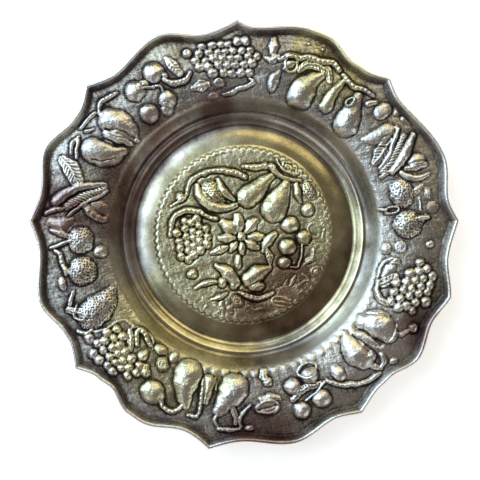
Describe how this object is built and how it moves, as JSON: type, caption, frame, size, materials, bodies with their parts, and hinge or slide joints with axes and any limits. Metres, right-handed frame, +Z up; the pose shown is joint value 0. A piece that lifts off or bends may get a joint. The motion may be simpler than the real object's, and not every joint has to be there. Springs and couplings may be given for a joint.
{
  "type": "scalloped tray",
  "caption": "Round brass serving tray with a stepped well, a wide domed flange and a scalloped edge rolled over a stiffening wire.",
  "frame": {"origin": "on the resting plane, straight under the middle of the tray", "axes": "+Z up out of the well; +X and +Y lie in the resting plane, and the point of the edge that lies nearest to +X is 2.8 degrees from it"},
  "size_m": [0.3998, 0.3998, 0.0299],
  "materials": {
    "aged_brass": "worn silvery polish on the high places, with dark patina in the recesses",
    "steel_wire": "drawn, dull"
  },
  "bodies": {
    "root": {"tray_sheet": "aged_brass", "rim_wire": "steel_wire"}
  },
  "joints": []
}
